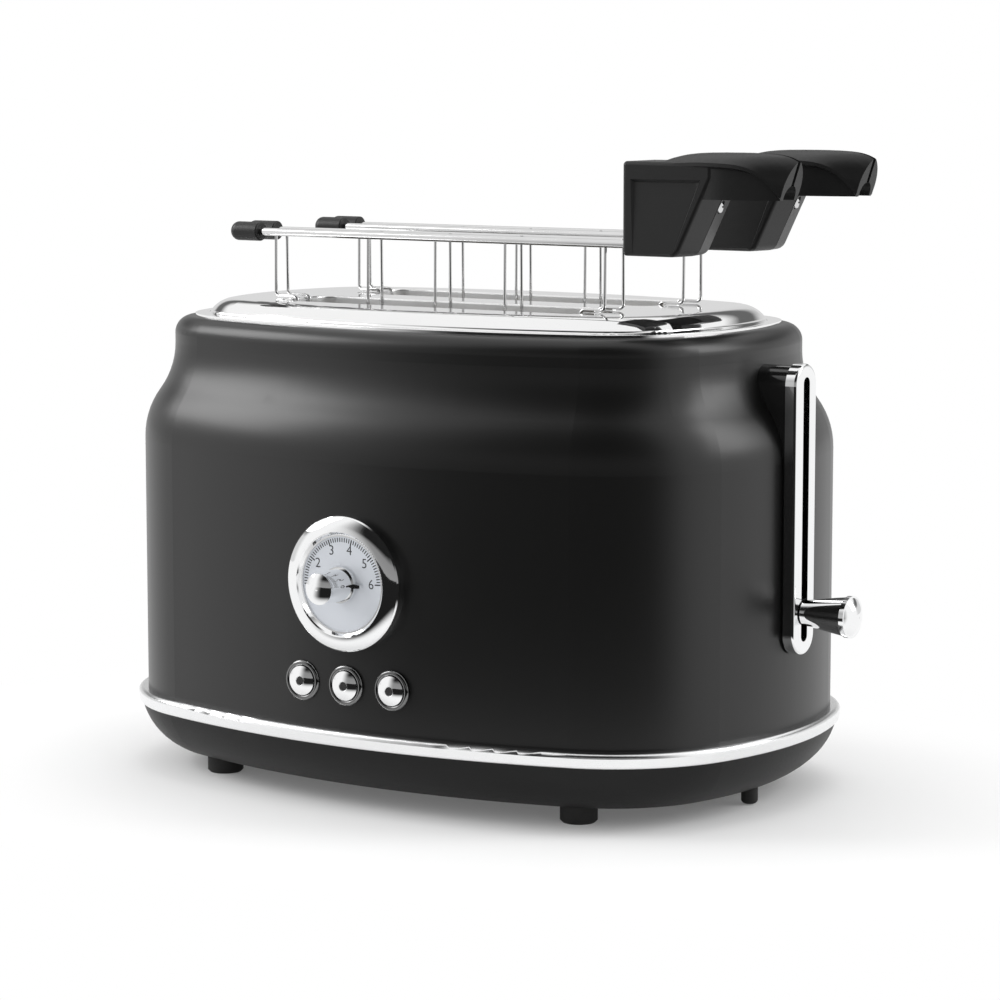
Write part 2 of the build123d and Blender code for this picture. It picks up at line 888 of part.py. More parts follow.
with BuildPart() as dial_bezel:
    with BuildSketch(facing_front(dial_x, dial_z)):
        with BuildLine():
            crest_front = belly + bezel_proud
            rim = bezel_diameter / 2
            rim_front = crest_front - bezel_fall
            Polyline(
                (face_diameter / 2, face_front),
                (face_diameter / 2, face_front + bezel_step),
                (face_diameter / 2 + bezel_step, face_front + bezel_step),
                (throat_radius - bezel_edge, crest_front - bezel_edge),
                (throat_radius, crest_front),
            )
            ThreePointArc(
                (throat_radius, crest_front),
                ((throat_radius + rim) / 2, crest_front - bezel_fall * 0.34),
                (rim - bezel_edge, rim_front),
            )
            Polyline(
                (rim - bezel_edge, rim_front),
                (rim, rim_front - bezel_edge),
                (rim, belly - bezel_proud / 2),
                (throat_radius, belly - bezel_proud / 2),
                (throat_radius, face_front),
                (face_diameter / 2, face_front),
            )
        make_face()
    revolve(axis=front_axis(dial_x, dial_z))
    add(envelope, mode=Mode.SUBTRACT)
    with BuildSketch(facing_front(dial_x, dial_z)):
        Polygon(
            (throat_radius, belly - bezel_proud),
            (sleeve_radius, belly - bezel_proud),
            (sleeve_radius, belly + bezel_proud / 4),
            (throat_radius, belly + bezel_proud / 4),
            align=None,
        )
    revolve(axis=front_axis(dial_x, dial_z))
save(dial_bezel.part, "dial_bezel")

with BuildPart() as dial_face:
    disc = (-face_front, -face_front + sheet)
    pin_in(dial_x, disc, dial_z, throat_radius - running_gap)
    pin_in(dial_x, disc, dial_z, shaft_diameter / 2 + running_gap, Mode.SUBTRACT)
save(dial_face.part, "dial_face")

with BuildPart() as dial_knob:
    shaft_end = board_y - pot_end_wall - free_gap
    pin_in(dial_x, (-knob_back, shaft_end), dial_z, shaft_diameter / 2)
    flange = (-knob_back - dial_flange_height, -knob_back)
    pin_in(dial_x, flange, dial_z, dial_flange_diameter / 2)
    with BuildSketch(facing_front(dial_x, dial_z)):
        Polygon(
            (0, knob_back),
            (dial_knob_base / 2, knob_back),
            (dial_knob_diameter / 2, knob_front),
            (0, knob_front),
            align=None,
        )
    revolve(axis=front_axis(dial_x, dial_z))
    with BuildSketch(Plane(origin=(dial_x, -knob_back, dial_z), x_dir=(1, 0, 0), z_dir=(0, -1, 0))):
        Polygon(
            (0, pointer_width / 2),
            (0, -pointer_width / 2),
            (pointer_reach, -pointer_width / 6),
            (pointer_reach, pointer_width / 6),
            align=None,
        )
    extrude(amount=dial_flange_height)
save(dial_knob.part, "dial_knob")

with BuildPart() as dial_knob_cap:
    cap_back = knob_front
    rim = dial_knob_diameter / 2 + dial_cap_lip
    with BuildSketch(facing_front(dial_x, dial_z)):
        with BuildLine():
            Polyline((0, cap_back), (rim, cap_back), (rim, cap_back + dial_cap_rim))
            dome(cap_back + dial_cap_rim, rim, dial_cap_dome)
            Line((0, cap_back + dial_cap_rim + dial_cap_dome), (0, cap_back))
        make_face()
    revolve(axis=front_axis(dial_x, dial_z))
save(dial_knob_cap.part, "dial_knob_cap")

with BuildPart() as dial_potentiometer:
    case = (board_y - pot_depth, board_y)
    bush_end = board_y - pot_depth - pot_bush_length
    bush = (bush_end, board_y - pot_depth)
    pin_in(dial_x, case, dial_z, pot_diameter / 2)
    pin_in(dial_x, bush, dial_z, shaft_diameter / 2 + pot_bush_wall)
    shaft_room = (bush_end, board_y - pot_end_wall)
    pin_in(dial_x, shaft_room, dial_z, shaft_diameter / 2 + running_gap, Mode.SUBTRACT)
save(dial_potentiometer.part, "dial_potentiometer")

# Control board stands on the base floor, with a small switch behind each button
with BuildPart() as control_board:
    block(
        (-board_width / 2, board_width / 2),
        (board_y, board_y + board_sheet),
        (base_floor, board_top),
    )
    for place in button_places.values():
        switch = (place - switch_size / 2, place + switch_size / 2)
        height = (button_z - switch_size / 2, button_z + switch_size / 2)
        block(switch, (board_y - switch_depth, board_y), height)
        nub = (board_y - switch_depth - switch_nub, board_y - switch_depth)
        pin_in(place, nub, button_z, switch_size / 4)
save(control_board.part, "control_board")


# Push buttons, each sliding in its own ring
def ring_section(x):
    """Raised rim of a button ring, from just inside the shell to its rounded front."""
    surface = -front_surface(x)
    bore = button_diameter / 2 + slide_gap
    rim = button_ring_diameter / 2
    with BuildSketch() as section:
        with BuildLine():
            Polyline(
                (bore, surface + ring_proud / 2),
                (bore, surface - ring_depth),
                (rim, surface - ring_depth),
                (rim, surface + ring_proud / 2),
            )
            ThreePointArc(
                (rim, surface + ring_proud / 2),
                ((rim + bore) / 2, surface + ring_proud),
                (bore, surface + ring_proud / 2),
            )
        make_face()
    return section.sketch


with BuildPart() as ring_rims:
    for place in button_places.values():
        with BuildSketch(facing_front(place, button_z)):
            add(ring_section(place))
        revolve(axis=front_axis(place, button_z))
    add(envelope, mode=Mode.SUBTRACT)
with BuildPart() as button_rings:
    add(ring_rims.part)
    for place in button_places.values():
        surface = front_surface(place)
        bore = button_diameter / 2 + slide_gap
        sleeve = (surface - ring_proud / 4, surface + ring_sleeve_depth)
        pin_in(place, sleeve, button_z, bore + button_sleeve - slide_gap / 2)
    for place in button_places.values():
        surface = front_surface(place)
        sleeve = (surface - ring_proud, surface + ring_sleeve_depth)
        pin_in(place, sleeve, button_z, bore, Mode.SUBTRACT)
save(button_rings.part, "button_rings")


def push_button(x):
    """Domed cap with a small round dish, and a stem that reaches nearly to its switch."""
    surface = -front_surface(x)
    radius = button_diameter / 2
    cap_front = surface + ring_proud
    stem_end = -board_y + switch_depth + switch_nub + button_travel + free_gap
    with BuildPart() as button:
        with BuildSketch(facing_front(x, button_z)):
            with BuildLine():
                Polyline(
                    (0, stem_end),
                    (stem_radius, stem_end),
                    (stem_radius, surface - button_cap_back),
                    (radius, surface - button_cap_back),
                    (radius, cap_front),
                )
                dome(cap_front, radius, button_dome)
                Line((0, cap_front + button_dome), (0, stem_end))
            make_face()
        revolve(axis=front_axis(x, button_z))
        dish = (-cap_front - button_dome, -cap_front - button_dome + dish_depth)
        pin_in(x, dish, button_z, dish_radius, Mode.SUBTRACT)
    return button.part


for name, place in button_places.items():
    save(push_button(place), f"button_{name}")

# Crumb tray and the slice of base wall that it is pulled out by
pan_bottom = base_floor + free_gap
with BuildPart() as crumb_tray:
    pan_x = (-crumb_width / 2, crumb_width / 2)
    pan_top = pan_bottom + crumb_height
    block(pan_x, (crumb_front_y, crumb_rear_y), (pan_bottom, pan_top))
    block(
        (pan_x[0] + crumb_sheet, pan_x[1] - crumb_sheet),
        (crumb_front_y + crumb_sheet, crumb_rear_y - crumb_sheet),
        (pan_bottom + crumb_sheet, pan_top),
        Mode.SUBTRACT,
    )
    tongue_x = (-crumb_tongue_width / 2, crumb_tongue_width / 2)
    tongue_z = (pan_bottom, pan_bottom + crumb_sheet)
    block(tongue_x, (crumb_rear_y, crumb_tongue_y), tongue_z)
    add(base_wall_ring, mode=Mode.SUBTRACT)
save(crumb_tray.part, "crumb_tray")

with BuildPart() as crumb_tray_pull:
    add(base_wall_ring)
    pull_z = (base_floor + crumb_gap, window_top - crumb_gap)
    block(pan_x, back_reach, pull_z, Mode.INTERSECT)
save(crumb_tray_pull.part, "crumb_tray_pull")

# Sandwich tongs: near halves are drawn about y = 0, far halves are their mirror images
splay = math.degrees(math.asin((rod_gap_right - rod_gap_left) / 2 / (rod_right_x - rod_left_x)))
rod_offset = rod_gap_right / 2 + (pivot_x - rod_right_x) * math.tan(math.radians(splay))
wire_offset = rod_offset - wire_inset
wire_top_offset = rod_offset - wire_top_inset
wire_top = rod_z + rod_diameter / 3
shoulder_z = plate_top + free_gap + tong_wire / 2
rod_start = rod_left_x - tip_cap_length + tip_cap_wall
rod_end = handle_left + rod_in_handle
pivot_line = Axis((pivot_x, 0, 0), (0, 0, 1))


def grill_wire(points, diameter):
    """Round wire along straight runs with a small bend at each corner."""
    with BuildPart() as wire:
        with BuildLine() as route:
            FilletPolyline(*points, radius=wire_bend)
        with BuildSketch(Plane(origin=route.line @ 0, z_dir=route.line % 0)):
            Circle(diameter / 2)
        sweep(path=route.line)
    return wire.part


with BuildPart() as grill:
    bar((rod_start, rod_end), -rod_offset, rod_z, rod_diameter / 2)
    left, right = tong_wire_x[0], tong_wire_x[-1]
    frame_points = (
        (left, -wire_top_offset, wire_top),
        (left, -wire_offset, shoulder_z),
        (left + shoulder_step, -wire_offset, shoulder_z),
        (left + shoulder_step, -wire_offset, grill_bottom),
        (right - shoulder_step, -wire_offset, grill_bottom),
        (right - shoulder_step, -wire_offset, shoulder_z),
        (right, -wire_offset, shoulder_z),
        (right, -wire_top_offset, wire_top),
    )
    add(grill_wire(frame_points, tong_wire))
    for x in tong_wire_x[1:-1]:
        inner_points = (
            (x, -wire_top_offset, wire_top),
            (x, -wire_offset, shoulder_z),
            (x, -wire_offset, grill_bottom),
        )
        add(grill_wire(inner_points, tong_inner_wire))
    cross = (left + shoulder_step, right - shoulder_step)
    bar(cross, -wire_offset, grill_middle, tong_cross_wire / 2)
swung_grill = grill.part.rotate(pivot_line, -splay)

with BuildPart() as tip_cap:
    cap_end = rod_left_x
    bar((cap_end - tip_cap_length, cap_end), -rod_offset, rod_z, tip_cap_diameter / 2)
    fillet(tip_cap.edges().group_by(Axis.X)[0], tip_cap_diameter / 2 - tip_cap_edge)
    fillet(tip_cap.edges().group_by(Axis.X)[-1], tip_cap_edge)
    bar((rod_start, cap_end), -rod_offset, rod_z, rod_diameter / 2 + running_gap, Mode.SUBTRACT)
swung_cap = tip_cap.part.rotate(pivot_line, -splay)

with BuildPart() as rod_hole:
    bar((rod_left_x, rod_end), -rod_offset, rod_z, rod_diameter / 2 + running_gap)
swung_hole = rod_hole.part.rotate(pivot_line, -splay)


def split_face(x):
    """Y of the flat inner face of a near half, which clears the far half when both swing."""
    swing = max(x - pivot_x, 0) * math.tan(math.radians(tong_opening))
    return -handle_split - swing


def panel_face(y, push):
    """Side view of the panel at a depth y, with its end wall pushed along X."""
    with BuildSketch(Plane(origin=(0, y, 0), x_dir=(1, 0, 0), z_dir=(0, -1, 0))) as face:
        with BuildLine():
            FilletPolyline(
                (wall_top_x + push, handle_top),
                (handle_left, handle_top),
                (handle_left, handle_bottom),
                (wall_bottom_x - handle_corner, handle_bottom),
                radius=handle_small_corner,
            )
            FilletPolyline(
                (wall_bottom_x - handle_corner, handle_bottom),
                (wall_bottom_x + push, handle_bottom),
                (wall_top_x + push, wall_top_z),
                radius=handle_corner,
            )
            Line((wall_top_x + push, wall_top_z), (wall_top_x + push, handle_top))
        make_face()
    return face.sketch


def arm_section(x, arm_side, brim_side, brim_z, ridge_z, lean):
    """Cross-section of the arm at x: flat inside, domed top and a brim that overhangs the side."""
    tilt = math.atan2(lean, ridge_z - arm_bottom)
    section_plane = Plane(
        origin=(x, 0, arm_bottom),
        x_dir=(0, 1, 0),
        z_dir=(math.cos(tilt), 0, -math.sin(tilt)),
    )
    inside = split_face(x + lean)
    ridge = ridge_z - arm_bottom
    brim = brim_z - arm_bottom
    with BuildSketch(section_plane) as section:
        with BuildLine():
            Line((inside, 0), (inside, ridge))
            ThreePointArc(
                (inside, ridge),
                ((inside - brim_side) / 2, brim + (ridge - brim) * 0.8),
                (-brim_side, brim),
            )
            Polyline(
                (-brim_side, brim),
                (-brim_side, brim - arm_roof),
                (-arm_side, brim - arm_roof - arm_eave),
                (-arm_side, 0),
                (inside, 0),
            )
        make_face()
    return section.sketch


def recess():
    """Wedge cut from the outer face: deepest under the brim and level with the face at the bottom."""
    fall = recess_top - handle_bottom
    floor_plane = Plane(
        origin=(0, -handle_outer + recess_depth, recess_top),
        x_dir=(1, 0, 0),
        z_dir=(0, -fall, recess_depth),
    )
    with BuildPart() as wedge:
        with BuildSketch(floor_plane):
            Polygon(
                (recess_left, 0),
                (recess_left, -fall - handle_corner),
                (recess_right_bottom, -fall - handle_corner),
                (recess_right_top, 0),
                align=None,
            )
        extrude(amount=handle_corner, taper=-recess_slope)
    return wedge.part


def tong_handle(lug_bottom):
    """One half of a handle: a panel that grips the rod, and the arm beyond the hinge."""
    lug_top = lug_bottom + lug_height
    with BuildPart() as panel:
        add(panel_face(-handle_outer, 0))
        add(panel_face(-handle_split, wall_sweep))
        loft(ruled=True)
        fillet(panel.faces().sort_by(Axis.Y)[0].edges(), handle_edge)
        add(recess(), mode=Mode.SUBTRACT)
    with BuildPart() as arm:
        for station in arm_stations:
            add(arm_section(*station))
        loft()
    with BuildPart() as handle:
        add(panel.part)
        add(arm.part)
        relief_end = arm_stations[-1][0] + handle_outer
        with BuildSketch(Plane.XY.offset(handle_bottom)):
            Polygon(
                (pivot_x, lug_radius),
                (pivot_x, split_face(pivot_x) - running_gap),
                (relief_end, split_face(relief_end) - running_gap),
                (relief_end, lug_radius),
                align=None,
            )
        extrude(amount=handle_corner + handle_top - handle_bottom, mode=Mode.SUBTRACT)
        post(pivot_x, 0, (lug_pocket_bottom, lug_pocket_top), lug_pocket_radius, Mode.SUBTRACT)
        neck = (pivot_x - lug_radius / 2, pivot_x + lug_radius / 2)
        block(neck, (-lug_block, 0), (lug_bottom, lug_top))
        post(pivot_x, 0, (lug_bottom, lug_top), lug_radius)
        bore = pivot_diameter / 2 + running_gap
        post(pivot_x, 0, (lug_bottom, lug_top), bore, Mode.SUBTRACT)
        arch = (arch_start_x, arm_stations[-1][0] + handle_outer)
        bar(arch, 0, arm_bottom + arch_rise, arch_radius, Mode.SUBTRACT)
        block(arch, (-arch_radius, 0), (arm_bottom, arm_bottom + arch_rise), Mode.SUBTRACT)
        add(swung_hole, mode=Mode.SUBTRACT)
    return handle.part


def wall_x(z):
    """X of the end wall at the hinge screw's distance from the split."""
    rise = (z - handle_bottom) / (wall_top_z - handle_bottom)
    across = (handle_outer - hinge_screw_y) / (handle_outer - handle_split)
    return wall_bottom_x + rise * (wall_top_x - wall_bottom_x) + across * wall_sweep


screw_face_x = wall_x(hinge_screw_z) - screw_seat_depth
screw_end_x = screw_face_x - hinge_screw_length
near_lug = arm_bottom + 1
far_lug = near_lug + lug_height + lug_gap
pin_top = lug_pocket_top - free_gap

with BuildPart() as far_handle:
    add(tong_handle(far_lug))
    seat = (screw_face_x - free_gap, screw_face_x + handle_corner)
    seat_radius = hinge_screw_head / 2 + screw_seat_gap
    bar(seat, -hinge_screw_y, hinge_screw_z, seat_radius, Mode.SUBTRACT)
    shank_radius = hinge_screw_head / 4
    shank = (screw_end_x - free_gap, screw_face_x)
    bar(shank, -hinge_screw_y, hinge_screw_z, shank_radius + running_gap, Mode.SUBTRACT)
with BuildPart() as hinge_screw:
    head_end = screw_face_x + screw_seat_depth - free_gap
    bar((screw_face_x, head_end), -hinge_screw_y, hinge_screw_z, hinge_screw_head / 2)
    bar((screw_end_x, screw_face_x), -hinge_screw_y, hinge_screw_z, shank_radius)
    block(
        (head_end - screw_slot_depth, head_end),
        (-hinge_screw_y - hinge_screw_head / 2, -hinge_screw_y + hinge_screw_head / 2),
        (hinge_screw_z - screw_slot_width / 2, hinge_screw_z + screw_slot_width / 2),
        Mode.SUBTRACT,
    )

with BuildPart() as tong_pivot:
    post(pivot_x, 0, (arm_bottom, pin_top), pivot_diameter / 2)
with BuildPart() as tong_spring:
    height = (far_lug + lug_height + free_gap, pin_top)
    post(pivot_x, 0, height, lug_radius)
    post(pivot_x, 0, height, pivot_diameter / 2 + free_gap, Mode.SUBTRACT)

near_pieces = {"handle": tong_handle(near_lug), "grill": swung_grill, "cap": swung_cap}
far_pieces = {"handle": far_handle.part, "grill": swung_grill, "cap": swung_cap}
for tong, centre in zip(("front", "rear"), slot_centres):
    place = Pos(tong_shift[tong], centre, 0)
    save(place * tong_pivot.part, f"tong_{tong}_pivot")
    save(place * tong_spring.part, f"tong_{tong}_spring")
    for name, piece in near_pieces.items():
        save(place * piece, f"tong_{tong}_near_{name}")
    for name, piece in far_pieces.items():
        save(place * piece.mirror(Plane.XZ), f"tong_{tong}_far_{name}")
    save(place * hinge_screw.part.mirror(Plane.XZ), f"tong_{tong}_screw")
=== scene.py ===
import json
import math

import bmesh
import bpy
from mathutils import Matrix, Vector


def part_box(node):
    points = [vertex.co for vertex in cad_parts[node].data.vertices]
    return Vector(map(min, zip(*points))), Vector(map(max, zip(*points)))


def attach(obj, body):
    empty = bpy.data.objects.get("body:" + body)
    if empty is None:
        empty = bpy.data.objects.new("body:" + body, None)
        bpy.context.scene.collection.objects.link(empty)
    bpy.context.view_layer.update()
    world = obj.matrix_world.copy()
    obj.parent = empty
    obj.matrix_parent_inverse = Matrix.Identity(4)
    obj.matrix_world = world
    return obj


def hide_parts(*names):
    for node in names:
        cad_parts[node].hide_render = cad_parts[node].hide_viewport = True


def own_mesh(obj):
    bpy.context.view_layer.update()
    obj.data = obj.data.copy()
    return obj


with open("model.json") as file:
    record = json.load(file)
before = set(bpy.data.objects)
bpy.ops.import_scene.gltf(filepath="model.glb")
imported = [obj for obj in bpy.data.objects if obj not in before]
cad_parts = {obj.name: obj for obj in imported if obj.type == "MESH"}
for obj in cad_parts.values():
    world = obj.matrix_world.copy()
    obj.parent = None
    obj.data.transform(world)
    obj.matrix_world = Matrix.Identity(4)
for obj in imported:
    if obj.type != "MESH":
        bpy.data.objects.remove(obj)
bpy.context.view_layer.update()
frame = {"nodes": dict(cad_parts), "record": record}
nodes = frame["nodes"]
mm = 0.001
print("frame loaded:", len(nodes), "nodes")


# Wraps a shader socket, so that shader maths is written as plain expressions
class Signal:
    def __init__(self, finish, socket):
        self.finish = finish
        self.socket = socket

    def __add__(self, other):
        return self.finish.maths("ADD", self, other)

    def __radd__(self, other):
        return self.finish.maths("ADD", other, self)

    def __sub__(self, other):
        return self.finish.maths("SUBTRACT", self, other)

    def __rsub__(self, other):
        return self.finish.maths("SUBTRACT", other, self)

    def __mul__(self, other):
        return self.finish.maths("MULTIPLY", self, other)

    def __rmul__(self, other):
        return self.finish.maths("MULTIPLY", other, self)

    def __lt__(self, other):
        return self.finish.maths("LESS_THAN", self, other)


# A material (or the world) whose nodes are all added by one method
class Finish:
    def __init__(self, owner, shaderName="Principled BSDF"):
        owner.use_nodes = True
        self.owner = owner
        self.tree = owner.node_tree
        self.shader = self.tree.nodes[shaderName]

    def feed(self, socket, value):
        if isinstance(value, Signal):
            self.tree.links.new(value.socket, socket)
        elif isinstance(value, bpy.types.NodeSocket):
            self.tree.links.new(value, socket)
        else:
            socket.default_value = value

    # Settings are set first, then sockets get values or links, by name or by number
    def node(self, kind, settings=None, sockets=None, output=0):
        made = self.tree.nodes.new("ShaderNode" + kind)
        for key, value in (settings or {}).items():
            if key == "stops":
                ramp = made.color_ramp
                while len(ramp.elements) < len(value):
                    ramp.elements.new(0.5)
                for element, (place, color) in zip(ramp.elements, value):
                    element.position = place
                    element.color = color
            else:
                setattr(made, key, value)
        for key, value in (sockets or {}).items():
            self.feed(made.inputs[key], value)
        return Signal(self, made.outputs[output])

    def maths(self, operation, first, second=0.0):
        return self.node("Math", {"operation": operation}, {0: first, 1: second})

    # Vector maths; a length or a dot product comes out at output 1
    def vector(self, operation, first, second=None, output=0):
        sockets = {0: first} if second is None else {0: first, 1: second}
        return self.node("VectorMath", {"operation": operation}, sockets, output)

    def blend(self, factor, first, second):
        # sockets 6 and 7 are the colour pair of the Mix node, output 2 its colour
        return self.node("Mix", {"data_type": "RGBA"}, {0: factor, 6: first, 7: second}, 2)

    def mixShader(self, factor, first, second):
        return self.node("MixShader", None, {0: factor, 1: first, 2: second})

    # From 0 to 1 as the value goes between two limits, with both ends eased
    def eased(self, value, low, high):
        ease = {"interpolation_type": "SMOOTHSTEP"}
        return self.node("MapRange", ease, {"Value": value, "From Min": low, "From Max": high})

    def greyRamp(self, value, stops):
        return self.node("ValToRGB", {"stops": [(place, grey(level)) for place, level in stops]}, {0: value})

    def place(self, scale=(1, 1, 1), turn=(0, 0, 0)):
        start = self.node("TexCoord", output=3)
        return self.node("Mapping", None, {"Vector": start, "Scale": scale, "Rotation": turn})

    # One of the three numbers of a vector: 0, 1 or 2
    def axis(self, vector, which):
        return self.node("SeparateXYZ", None, {0: vector}, which)

    def noise(self, scale, detail=3.0, rough=0.55, where=None, distortion=0.0):
        where = where or self.place()
        return self.node("TexNoise", None, {
            "Vector": where, "Scale": scale, "Detail": detail, "Roughness": rough, "Distortion": distortion})

    def cells(self, scale, where=None, output=0):
        where = where or self.place()
        return self.node("TexVoronoi", None, {"Vector": where, "Scale": scale}, output)

    def bump(self, height, strength, distance):
        return self.node("Bump", None, {"Height": height, "Strength": strength, "Distance": distance})

    # Whether a ray comes from the camera, and whether it is a mirrored one
    def rays(self):
        outputs = self.node("LightPath").socket.node.outputs
        return Signal(self, outputs["Is Camera Ray"]), Signal(self, outputs["Is Glossy Ray"])

    def set(self, **values):
        for key, value in values.items():
            self.feed(self.shader.inputs[socketNames[key]], value)
        return self.owner


socketNames = {
    "color": "Base Color",
    "rough": "Roughness",
    "metal": "Metallic",
    "normal": "Normal",
    "coat": "Coat Weight",
    "coatRough": "Coat Roughness",
    "specular": "Specular IOR Level",
}


def newFinish(name):
    return Finish(bpy.data.materials.new(name))


# A plain grey, tinted a little towards yellow by a positive warm and towards blue by a negative one
def grey(value, warm=0.0):
    return (value * (1 + warm), value, value * (1 - warm), 1)


# Satin black paint: faint orange peel, and a roughness that wanders a little
def shellPaint():
    look = {
        "color": 0.005, "rough": 0.34, "specular": 0.5,
        "cloudScale": 9, "peelScale": 850, "speckScale": 3200,
        "wander": 0.05, "peel": 0.05, "peelDepth": 0.2 * mm,
    }
    f = newFinish("shellPaint")
    cloud = f.noise(look["cloudScale"], 3)
    peel = f.noise(look["peelScale"], 2, 0.5)
    speck = f.noise(look["speckScale"], 1, 0.5)
    return f.set(
        color=f.blend(cloud, grey(look["color"] * 0.9, 0.02), grey(look["color"] * 1.12, 0.02)),
        rough=look["rough"] + (cloud - 0.5) * look["wander"] + (speck - 0.5) * look["wander"],
        normal=f.bump(peel * 0.75 + speck * 0.25, look["peel"], look["peelDepth"]),
        specular=look["specular"],
    )


# Polished chrome: bright, with the faintest haze where it has been wiped
def chrome(name, rough):
    look = {"color": 0.91, "wipeScale": 28, "fineScale": 420, "wave": 0.02, "waveDepth": 0.1 * mm}
    f = newFinish(name)
    wipe = f.noise(look["wipeScale"], 4, 0.6, distortion=0.6)
    fine = f.noise(look["fineScale"], 2)
    return f.set(
        color=f.blend(wipe, grey(look["color"] * 0.97, -0.006), grey(look["color"] * 1.03, -0.002)),
        metal=1.0,
        rough=rough + wipe * 0.03 + fine * 0.012,
        normal=f.bump(fine, look["wave"], look["waveDepth"]),
    )


# Polished stainless sheet, with a trace of the rolling direction along the slots; the lips that
# turn down into the slots are left dull
def polishedPlate():
    look = {
        "low": 0.86, "high": 0.92, "rough": 0.03,
        "grainScale": 60, "grainStretch": (1, 26, 26), "grain": 0.03, "grainDepth": 0.1 * mm,
        "wipeScale": 16,
    }
    lip = {
        "middle": (-13 * mm, 8 * mm), "halfLength": 78 * mm, "halfWidth": 46 * mm, "top": 197.6 * mm,
        "rough": 0.34,
    }
    f = newFinish("polishedPlate")
    grain = f.noise(look["grainScale"], 3, 0.6, f.place(look["grainStretch"]))
    wipe = f.noise(look["wipeScale"], 4, 0.6, distortion=0.5)
    x, y, z = (f.axis(f.place(), which) for which in range(3))
    along = f.maths("ABSOLUTE", x - lip["middle"][0]) < lip["halfLength"]
    across = f.maths("ABSOLUTE", y - lip["middle"][1]) < lip["halfWidth"]
    dull = along * across * (z < lip["top"])
    return f.set(
        color=f.blend(wipe, grey(look["low"]), grey(look["high"])),
        metal=1.0,
        rough=look["rough"] + grain * 0.04 + wipe * 0.03 + dull * lip["rough"],
        normal=f.bump(grain, look["grain"], look["grainDepth"]),
    )


# Moulded plastic with a fine spark-eroded grain
def mouldedPlastic(name, look):
    f = newFinish(name)
    cloud = f.noise(14, 3)
    pits = f.cells(look["grainScale"])
    fine = f.noise(look["grainScale"] * 1.7, 2, 0.6)
    return f.set(
        color=f.blend(cloud, grey(look["color"] * 0.88), grey(look["color"] * 1.12)),
        rough=look["rough"] + (cloud - 0.5) * 0.06 + (pits - 0.5) * 0.08,
        normal=f.bump(pits * 0.6 + fine * 0.4, look["grain"], 0.15 * mm),
        specular=look["specular"],
    )


# Smooth plastic under a clear coat
def glossPlastic(name, color, rough):
    f = newFinish(name)
    cloud = f.noise(40, 3)
    return f.set(
        color=f.blend(cloud, grey(color * 0.9), grey(color * 1.1)),
        rough=rough + cloud * 0.05,
        normal=f.bump(cloud, 0.02, 0.2 * mm),
        coat=0.6,
        coatRough=0.03,
    )


# Button rings: dark smoked metal, mirror smooth
def smokedRing():
    look = {"low": 0.16, "high": 0.24, "rough": 0.08, "cloudScale": 90}
    f = newFinish("smokedRing")
    cloud = f.noise(look["cloudScale"], 3)
    return f.set(
        color=f.blend(cloud, grey(look["low"]), grey(look["high"])),
        metal=1.0,
        rough=look["rough"] + cloud * 0.05,
        normal=f.bump(cloud, 0.04, 0.2 * mm),
    )


# Foot rubber: fine crumb, with a little dust in it
def footRubber():
    look = {"low": 0.010, "high": 0.019, "rough": 0.62, "crumbScale": 900, "dustScale": 60, "crumb": 0.25}
    f = newFinish("footRubber")
    crumb = f.noise(look["crumbScale"], 4, 0.7)
    dust = f.noise(look["dustScale"], 4)
    return f.set(
        color=f.blend(dust, grey(look["low"]), grey(look["high"], 0.05)),
        rough=look["rough"] + crumb * 0.2,
        normal=f.bump(crumb, look["crumb"], 0.2 * mm),
    )


# Plain galvanised sheet: soft spangle and faint rolling lines
def frameSteel():
    look = {
        "color": 0.42, "rough": 0.3,
        "spangleScale": 130, "lineScale": 50, "lineStretch": (30, 1, 1), "lines": 0.08,
    }
    f = newFinish("frameSteel")
    spangle = f.cells(look["spangleScale"], output=1)
    lines = f.noise(look["lineScale"], 3, 0.6, f.place(look["lineStretch"]))
    level = f.node("RGBToBW", None, {0: spangle})
    return f.set(
        color=f.blend(level * 0.5 + lines * 0.5, grey(look["color"] * 0.82, 0.01), grey(look["color"] * 1.15, -0.01)),
        metal=1.0,
        rough=look["rough"] + level * 0.12 + lines * 0.08,
        normal=f.bump(lines, look["lines"], 0.1 * mm),
    )


# Mica board: pale tan flakes under a dull gloss, browner where it runs hot
def micaBoard():
    look = {
        "flakeLow": (0.50, 0.42, 0.30, 1), "flakeHigh": (0.66, 0.60, 0.48, 1),
        "scorched": (0.36, 0.26, 0.16, 1),
        "flakeScale": 700, "flakeShape": (1, 1, 1.6), "scorchScale": 22, "scorchFrom": 0.42, "rough": 0.34,
    }
    f = newFinish("micaBoard")
    flake = f.node("RGBToBW", None, {0: f.cells(look["flakeScale"], f.place(look["flakeShape"]), 1)})
    scorch = f.noise(look["scorchScale"], 4, 0.6)
    pale = f.blend(flake, look["flakeLow"], look["flakeHigh"])
    return f.set(
        color=f.blend((scorch - look["scorchFrom"]) * 1.6, pale, look["scorched"]),
        rough=look["rough"] + flake * 0.2,
        normal=f.bump(flake, 0.2, 0.1 * mm),
    )


# Heater ribbon: dull oxidised alloy
def heaterAlloy():
    look = {"clean": (0.30, 0.27, 0.25, 1), "oxidised": (0.17, 0.15, 0.16, 1), "oxideScale": 180, "rough": 0.36}
    f = newFinish("heaterAlloy")
    oxide = f.noise(look["oxideScale"], 4, 0.6)
    return f.set(
        color=f.blend(oxide, look["clean"], look["oxidised"]),
        metal=0.9,
        rough=look["rough"] + oxide * 0.2,
        normal=f.bump(oxide, 0.1, 0.1 * mm),
    )


